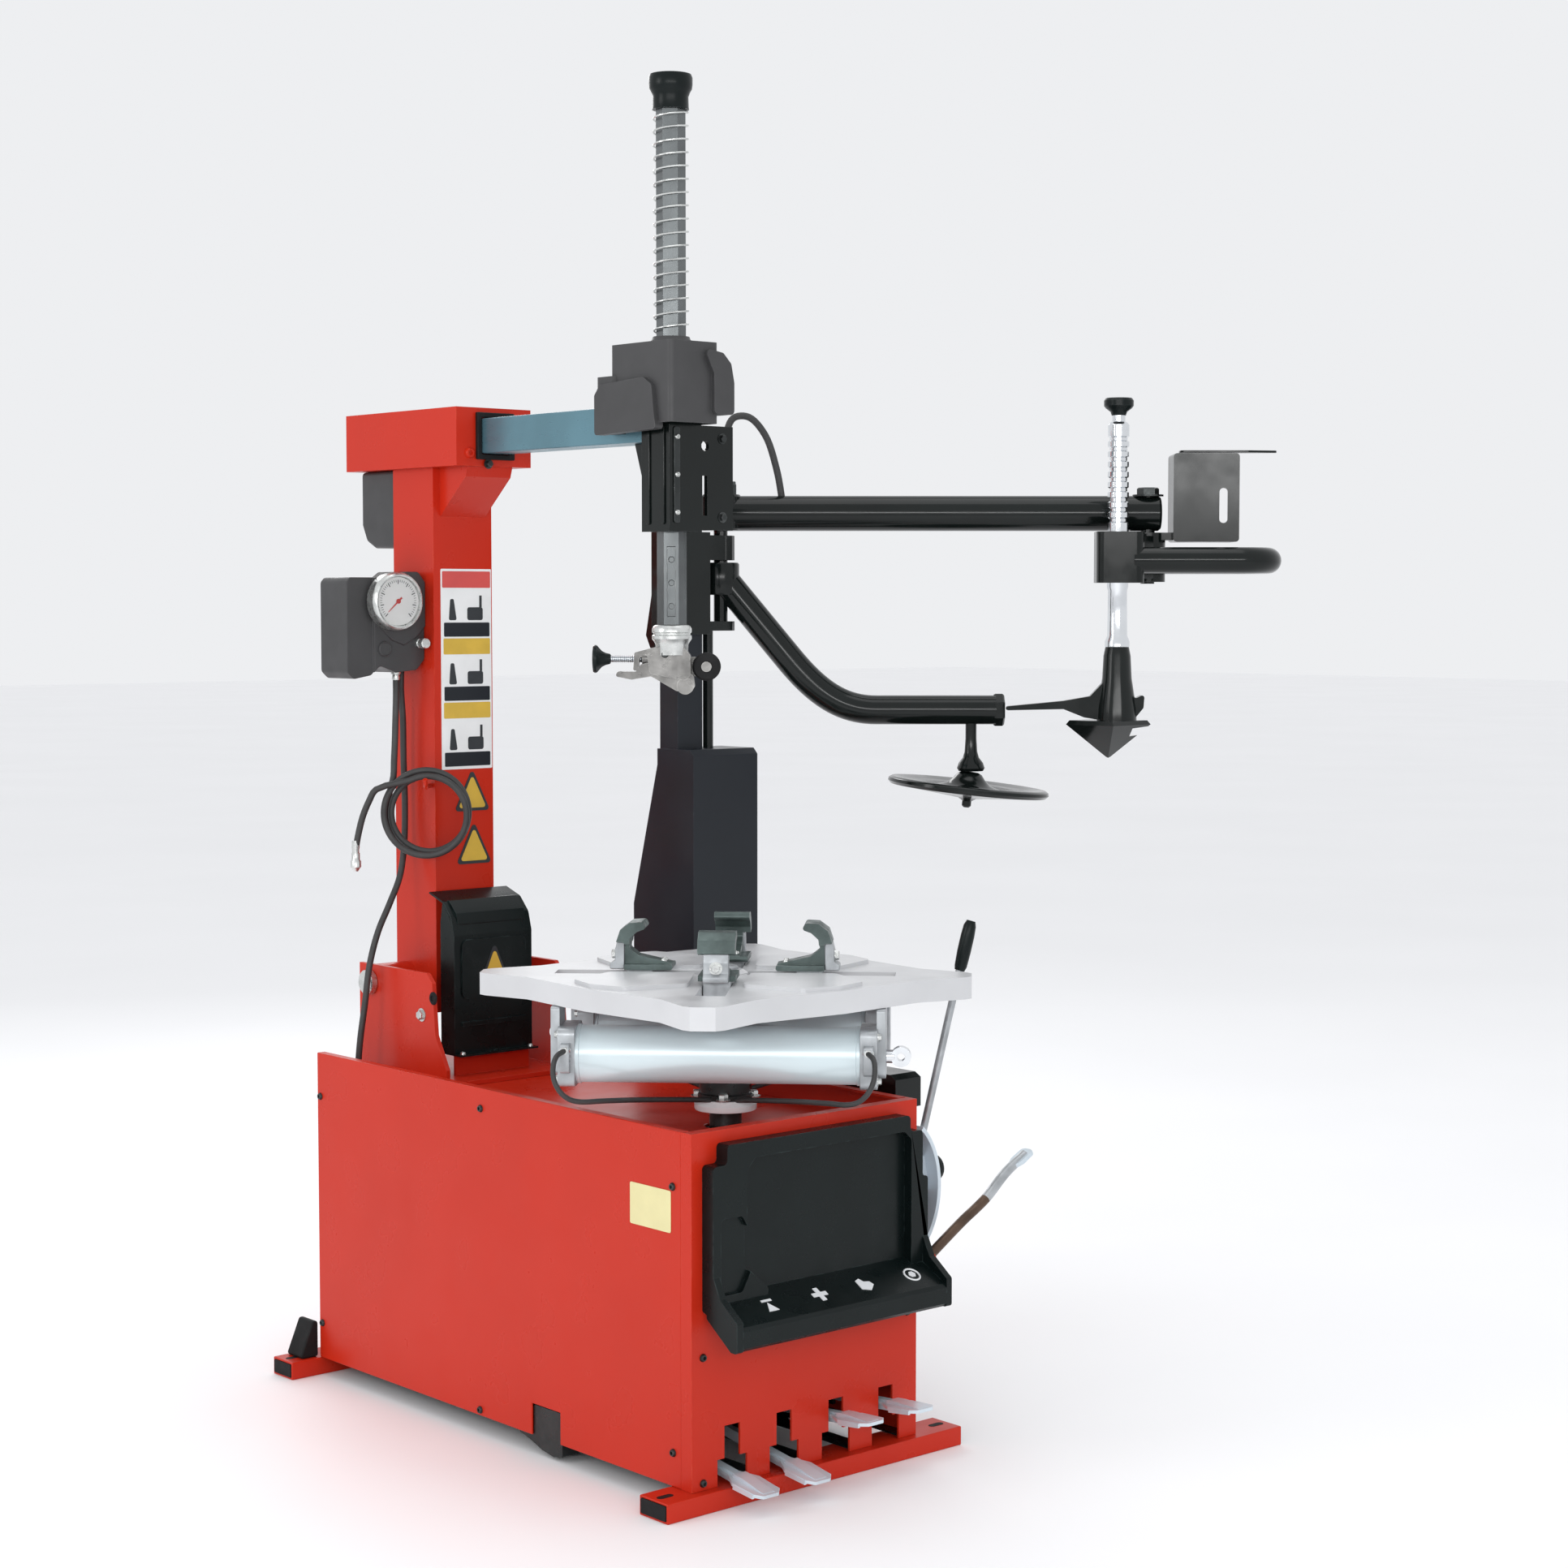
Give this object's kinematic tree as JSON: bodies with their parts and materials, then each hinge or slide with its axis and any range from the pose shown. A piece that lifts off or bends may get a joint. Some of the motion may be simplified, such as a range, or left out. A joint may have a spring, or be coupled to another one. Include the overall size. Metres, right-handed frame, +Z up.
{
  "type": "tire changer machine",
  "caption": "Tilt-back tire changer with turntable and clamp jaws, column with mounting tool, pneumatic help arm, bead breaker and foot pedals.",
  "frame": {"origin": "on the floor, on the underside of the front foot, under the middle of the cabinet's front panel", "axes": "+Z up, +X to the machine's right as the operator faces it, +Y from the front panel towards the column at the back"},
  "size_m": [1.3468, 1.2197, 2.127],
  "materials": {
    "red_paint": "gloss",
    "black_paint": "gloss",
    "navy_paint": "satin",
    "black_plastic": "satin",
    "charcoal_plastic": "matte",
    "rubber": "matte",
    "chrome": "polished",
    "cast_steel": "satin",
    "pedal_steel": "satin",
    "plate_metal": "satin",
    "cylinder_metal": "satin",
    "jaw_metal": "matte",
    "arm_metal": "satin",
    "dark_steel": "satin",
    "gauge_white": "gloss"
  },
  "bodies": {
    "cabinet": {"front_panel": "red_paint", "left_side_panel": "red_paint", "right_side_panel": "red_paint", "top_plate": "red_paint", "front_foot": "red_paint", "rear_foot": "red_paint", "pedal_tray": "black_plastic", "side_rubber_pad": "rubber", "drive_unit": "dark_steel", "pedal_frame": "dark_steel", "column_bracket": "red_paint", "column_pivot_pin": "cast_steel", "base_cover": "black_paint", "help_post": "navy_paint", "breaker_cylinder": "dark_steel"},
    "tilt_cylinder": {"tilt_cylinder": "dark_steel"},
    "tilt_rod": {"tilt_rod": "chrome"},
    "column": {"column": "red_paint", "head_rear_cover": "charcoal_plastic", "gauge_box": "charcoal_plastic", "pressure_gauge": "gauge_white", "hose_coil": "rubber", "hose_lead": "rubber", "hose_tail": "rubber", "tyre_chuck": "cast_steel", "supply_hose": "rubber"},
    "arm": {"horizontal_arm": "arm_metal", "lock_head": "black_paint", "lock_cover": "charcoal_plastic"},
    "shaft": {"hex_shaft": "dark_steel", "shaft_spring": "cast_steel", "mount_head": "cast_steel"},
    "adjuster_knob": {"adjuster_knob": "black_paint"},
    "head_roller": {"head_roller": "black_paint"},
    "turntable": {"turntable_plate": "plate_metal", "turntable_spindle": "dark_steel", "clamp_cylinder_front": "cylinder_metal", "clamp_cylinder_rear": "cylinder_metal"},
    "clamp_rod_front": {"clamp_rod_front": "chrome"},
    "clamp_rod_rear": {"clamp_rod_rear": "chrome"},
    "carriage": {"carriage": "black_paint"},
    "upper_arm": {"upper_arm": "black_paint"},
    "press_link": {"press_link": "black_paint"},
    "control_lever": {"control_lever": "black_paint"},
    "press": {"press_rod": "chrome", "press_foot": "black_paint"},
    "lower_arm": {"lower_arm": "black_paint"},
    "lift_disc": {"lift_disc": "black_paint"},
    "breaker_arm": {"breaker_arm": "black_paint"},
    "breaker_blade": {"breaker_blade": "cast_steel"},
    "breaker_rod": {"breaker_rod": "chrome"},
    "tire_lever": {"tire_lever": "dark_steel"},
    "pedal_1": {"pedal_1": "pedal_steel"},
    "jaw_1": {"jaw_1": "jaw_metal"},
    "pedal_2": {"pedal_2": "pedal_steel"},
    "jaw_2": {"jaw_2": "jaw_metal"},
    "pedal_3": {"pedal_3": "pedal_steel"},
    "jaw_3": {"jaw_3": "jaw_metal"},
    "pedal_4": {"pedal_4": "pedal_steel"},
    "jaw_4": {"jaw_4": "jaw_metal"}
  },
  "joints": [
    {"name": "pedal_1_press", "type": "hinge", "parent": "cabinet", "child": "pedal_1", "pos_m": [-0.148, 0.22, 0.075], "axis": [1, 0, 0], "range_deg": [-12, 0]},
    {"name": "pedal_2_press", "type": "hinge", "parent": "cabinet", "child": "pedal_2", "pos_m": [-0.047, 0.22, 0.075], "axis": [1, 0, 0], "range_deg": [-12, 0]},
    {"name": "pedal_3_press", "type": "hinge", "parent": "cabinet", "child": "pedal_3", "pos_m": [0.057, 0.22, 0.075], "axis": [1, 0, 0], "range_deg": [0, 12], "stiffness_Nm_per_rad": 14, "springref_deg": -20.05},
    {"name": "pedal_4_press", "type": "hinge", "parent": "cabinet", "child": "pedal_4", "pos_m": [0.16, 0.22, 0.075], "axis": [1, 0, 0], "range_deg": [0, 12], "stiffness_Nm_per_rad": 14, "springref_deg": -20.05},
    {"name": "column_tilt", "type": "hinge", "parent": "cabinet", "child": "column", "pos_m": [0, 0.968, 0.671], "axis": [-1, 0, 0], "range_deg": [0, 25]},
    {"name": "tilt_cylinder_swing", "type": "hinge", "parent": "cabinet", "child": "tilt_cylinder", "pos_m": [0, 0.826, 0.54], "axis": [-1, 0, 0], "range_deg": [0, 10.5]},
    {"name": "tilt_rod_slide", "type": "slide", "parent": "tilt_cylinder", "child": "tilt_rod", "axis": [0, 0, 1], "range_m": [0, 0.058]},
    {"name": "arm_slide", "type": "slide", "parent": "column", "child": "arm", "axis": [0, 1, 0], "range_m": [-0.1, 0.1]},
    {"name": "shaft_slide", "type": "slide", "parent": "arm", "child": "shaft", "axis": [0, 0, 1], "range_m": [-0.28, 0], "stiffness_N_per_m": 300, "springref_m": 0.5, "deforming": ["shaft_spring"]},
    {"name": "adjuster_turn", "type": "hinge", "parent": "shaft", "child": "adjuster_knob", "pos_m": [-0.04508, 0.3576, 1.23], "axis": [0.7513, -0.66, 0], "continuous": true},
    {"name": "head_roller_spin", "type": "hinge", "parent": "shaft", "child": "head_roller", "pos_m": [0.04057, 0.28236, 1.218], "axis": [0.66, 0.7513, 0], "continuous": true},
    {"name": "turntable_spin", "type": "hinge", "parent": "cabinet", "child": "turntable", "pos_m": [0, 0.19, 0.74], "axis": [0, 0, 1], "continuous": true},
    {"name": "jaw_1_slide", "type": "slide", "parent": "turntable", "child": "jaw_1", "axis": [0.7071, 0.7071, 0], "range_m": [-0.04, 0.11]},
    {"name": "jaw_2_slide", "type": "slide", "parent": "turntable", "child": "jaw_2", "axis": [-0.7071, 0.7071, 0], "range_m": [-0.04, 0.11]},
    {"name": "jaw_3_slide", "type": "slide", "parent": "turntable", "child": "jaw_3", "axis": [-0.7071, -0.7071, 0], "range_m": [-0.04, 0.11]},
    {"name": "jaw_4_slide", "type": "slide", "parent": "turntable", "child": "jaw_4", "axis": [0.7071, -0.7071, 0], "range_m": [-0.04, 0.11]},
    {"name": "clamp_rod_front_slide", "type": "slide", "parent": "turntable", "child": "clamp_rod_front", "axis": [0.7071, -0.7071, 0], "range_m": [-0.02, 0.05]},
    {"name": "clamp_rod_rear_slide", "type": "slide", "parent": "turntable", "child": "clamp_rod_rear", "axis": [-0.7071, 0.7071, 0], "range_m": [-0.02, 0.05]},
    {"name": "carriage_lift", "type": "slide", "parent": "cabinet", "child": "carriage", "axis": [0, 0, 1], "range_m": [-0.19, 0]},
    {"name": "upper_arm_swing", "type": "hinge", "parent": "carriage", "child": "upper_arm", "pos_m": [0.348, 0.614, 1.47], "axis": [0, 0, 1], "range_deg": [-65, 45]},
    {"name": "elbow_swing", "type": "hinge", "parent": "upper_arm", "child": "press_link", "pos_m": [0.89717, 0.13154, 1.39], "axis": [0, 0, 1], "range_deg": [-6, 95]},
    {"name": "press_rod_slide", "type": "slide", "parent": "press_link", "child": "press", "axis": [0, 0, 1], "range_m": [-0.1, 0]},
    {"name": "control_lever_turn", "type": "hinge", "parent": "press_link", "child": "control_lever", "pos_m": [0.94901, 0.086, 1.575], "axis": [0, 0, 1], "range_deg": [-20, 20], "stiffness_Nm_per_rad": 1.5},
    {"name": "lower_arm_swing", "type": "hinge", "parent": "carriage", "child": "lower_arm", "pos_m": [0.348, 0.614, 1.35], "axis": [0, 0, 1], "range_deg": [-60, 55]},
    {"name": "lift_disc_spin", "type": "hinge", "parent": "lower_arm", "child": "lift_disc", "pos_m": [0.66804, 0.33284, 1.004], "axis": [0.0785, -0.069, 0.9945], "continuous": true},
    {"name": "breaker_arm_swing", "type": "hinge", "parent": "cabinet", "child": "breaker_arm", "pos_m": [0.282, 0.515, 0.548], "axis": [0, 0, 1], "range_deg": [0, 55]},
    {"name": "breaker_blade_swing", "type": "hinge", "parent": "breaker_arm", "child": "breaker_blade", "pos_m": [0.282, 0.105, 0.41], "axis": [0, 0, 1], "range_deg": [-6, 6]},
    {"name": "breaker_rod_slide", "type": "slide", "parent": "cabinet", "child": "breaker_rod", "axis": [1, 0, 0], "range_m": [0, 0.085]},
    {"name": "tire_lever_slide", "type": "slide", "parent": "cabinet", "child": "tire_lever", "axis": [0.8444, 0, 0.5358], "range_m": [0, 0.25]}
  ],
  "couplings": [
    {"joint": "tilt_cylinder_swing", "follows": "column_tilt", "ratio": 0.408},
    {"joint": "tilt_rod_slide", "follows": "column_tilt", "m_per_rad": 0.1297},
    {"joint": "clamp_rod_front_slide", "follows": "jaw_1_slide", "ratio": 0.4},
    {"joint": "clamp_rod_rear_slide", "follows": "jaw_1_slide", "ratio": 0.4},
    {"joint": "breaker_rod_slide", "follows": "breaker_arm_swing", "m_per_rad": 0.085},
    {"joint": "jaw_2_slide", "follows": "jaw_1_slide", "ratio": 1},
    {"joint": "jaw_3_slide", "follows": "jaw_1_slide", "ratio": 1},
    {"joint": "jaw_4_slide", "follows": "jaw_1_slide", "ratio": 1}
  ]
}
